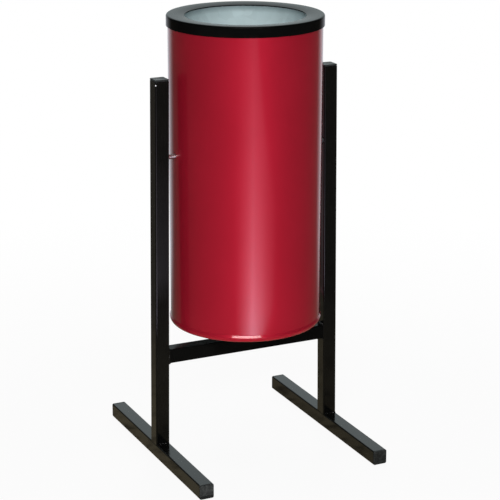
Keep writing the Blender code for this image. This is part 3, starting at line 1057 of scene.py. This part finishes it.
floor_mesh = bpy.data.meshes.new("floor")
floor_reach = FLOOR_SIZE / 2
floor_corners = ((-1, -1), (1, -1), (1, 1), (-1, 1))
floor_mesh.from_pydata(
    [(x * floor_reach, y * floor_reach, -FLOOR_DROP) for x, y in floor_corners],
    [],
    [(0, 1, 2, 3)],
)
floor = bpy.data.objects.new("floor", floor_mesh)
bpy.context.scene.collection.objects.link(floor)
floor_paper, floor_place = new_finish("floor_paper")
floor_mesh.materials.append(floor_paper)
straight, mirrored = ray_kinds(floor_place)
away = floor_place.node("ShaderNodeVectorMath", {"operation": "LENGTH"}, {0: floor_place}, 1)
further = away.clamped(FLOOR_NEAR, FLOOR_FAR)
straight_share = FLOOR_GLOW_NEAR + (1 - FLOOR_GLOW_NEAR) * further
behind = reach_along(floor_place, ALONG)
aside = reach_along(floor_place, ACROSS) / behind
on_paper = aside.math("ABSOLUTE", aside).clamped(*PAPER_EDGES) * behind.clamped(*PAPER_START)
paper = floor_place.node("ShaderNodeBsdfDiffuse", {}, {"Color": FLOOR_PALE})
bare = away.clamped(*BROWN_FLOOR_EDGES).blend(BROWN_FLOOR, BROWN_FLOOR_NEAR)
mottled = floor_place.noise(*MOTTLE_NOISE).clamped(*MOTTLE_EDGES).blend(bare, MOTTLE)
shown = straight.blend(on_paper.blend(mottled, PAPER_COOL), WHITE)
glow = floor_place.node("ShaderNodeEmission", {}, {"Color": shown, "Strength": 1.0})
seen = straight_share * straight + mirrored
lit = floor_place.node("ShaderNodeMixShader", {}, {0: seen, 1: paper, 2: glow})
floor_place.node("ShaderNodeOutputMaterial", {}, {"Surface": lit})

surround = bpy.data.worlds.new("surround")
bpy.context.scene.world = surround
surround.use_nodes = True
surround.node_tree.nodes.clear()
sky = Wire(surround.node_tree).node("ShaderNodeTexCoord", output="Generated")
straight, mirrored = ray_kinds(sky)
level = sky.node("ShaderNodeVectorMath", {"operation": "MULTIPLY"}, {0: sky, 1: (1, 1, 0)})
level = level.node("ShaderNodeVectorMath", {"operation": "NORMALIZE"}, {0: level})
backdrop = reach_along(level, ALONG).clamped(*BACKDROP_EDGES)
reflected = ROOM_GLOW + (1 - ROOM_GLOW) * backdrop
strength = straight + (1 - straight) * (ROOM_LIGHT + mirrored * (reflected - ROOM_LIGHT))
tint = mirrored.blend(WHITE, BACKDROP_COOL)
light = sky.node("ShaderNodeBackground", {}, {"Color": tint, "Strength": strength})
sky.node("ShaderNodeOutputWorld", {}, {"Surface": light})


def soft_lamp(name, place, turn, size, watts, mirrored=True):
    """A soft rectangular lamp, which the camera doesn't see."""
    lamp = bpy.data.lights.new(name, "AREA")
    lamp.shape, lamp.size, lamp.size_y, lamp.energy = "RECTANGLE", *size, watts
    made = bpy.data.objects.new(name, lamp)
    made.location, made.rotation_euler = place, turn
    made.visible_camera, made.visible_glossy = False, mirrored
    bpy.context.scene.collection.objects.link(made)
    return lamp


def soft_box(name, place, aim, size, watts, mirrored=True):
    """A lamp that faces a point."""
    turn = (aim - place).to_track_quat("-Z", "Y").to_euler()
    return soft_lamp(name, place, turn, size, watts, mirrored)


def lit_floor(name, start, length, width, rise, glow, mirrored):
    """A lamp that lies on the floor in front of the object and shines up."""
    place = ALONG * -(start + length / 2) + Z * rise
    turn = (math.pi, 0, -BACKDROP_TURN)
    return soft_lamp(name, place, turn, (width, length), math.pi * width * length * glow, mirrored)


for name, box in SOFT_BOXES.items():
    soft_box(name, **box)
lit_floor("floor_bounce", **BOUNCE, mirrored=False)
streak = lit_floor("floor_streak", **STREAK, mirrored=True)
streak.use_nodes = True
streak.node_tree.nodes.clear()
lit_place = Wire(streak.node_tree).node("ShaderNodeNewGeometry", output="Position")
ahead = -drum_wall - reach_along(lit_place, ALONG)
aside = reach_along(lit_place, ACROSS) / ahead
lean = aside - STREAK_LEAN
fade = lean.math("ABSOLUTE", lean).clamped(STREAK_EDGE, 0.0)
skirt = SKIRT_GLOW * aside.clamped(*SKIRT_START) * aside.clamped(*SKIRT_END)
strength = STREAK_GLOW * (fade * fade + skirt) * ahead ** STREAK_FALL
gleam = lit_place.node("ShaderNodeEmission", {}, {"Color": STREAK_COLOUR, "Strength": strength})
lit_place.node("ShaderNodeOutputLight", {}, {"Surface": gleam})


# Camera
# At the photograph's place and angle, for a square picture.
CAMERA_PLACE = (-1.2376, -2.6136, 1.2426)
CAMERA_TILT = math.radians(72.913)
CAMERA_HEADING = math.radians(-25.503)
CAMERA_ROLL = math.radians(0.095)
CAMERA_LENS = 125.8
CAMERA_SENSOR = 36.0
CAMERA_REACH = 100.0

lens = bpy.data.cameras.new("camera")
lens.lens, lens.sensor_width, lens.clip_end = CAMERA_LENS, CAMERA_SENSOR, CAMERA_REACH
camera = bpy.data.objects.new("camera", lens)
aim = Euler((CAMERA_TILT, 0, CAMERA_HEADING)).to_matrix() @ Matrix.Rotation(CAMERA_ROLL, 3, "Z")
camera.location = CAMERA_PLACE
camera.rotation_euler = aim.to_euler()
bpy.context.scene.collection.objects.link(camera)
bpy.context.scene.camera = camera
bpy.context.scene.view_settings.view_transform = "Standard"
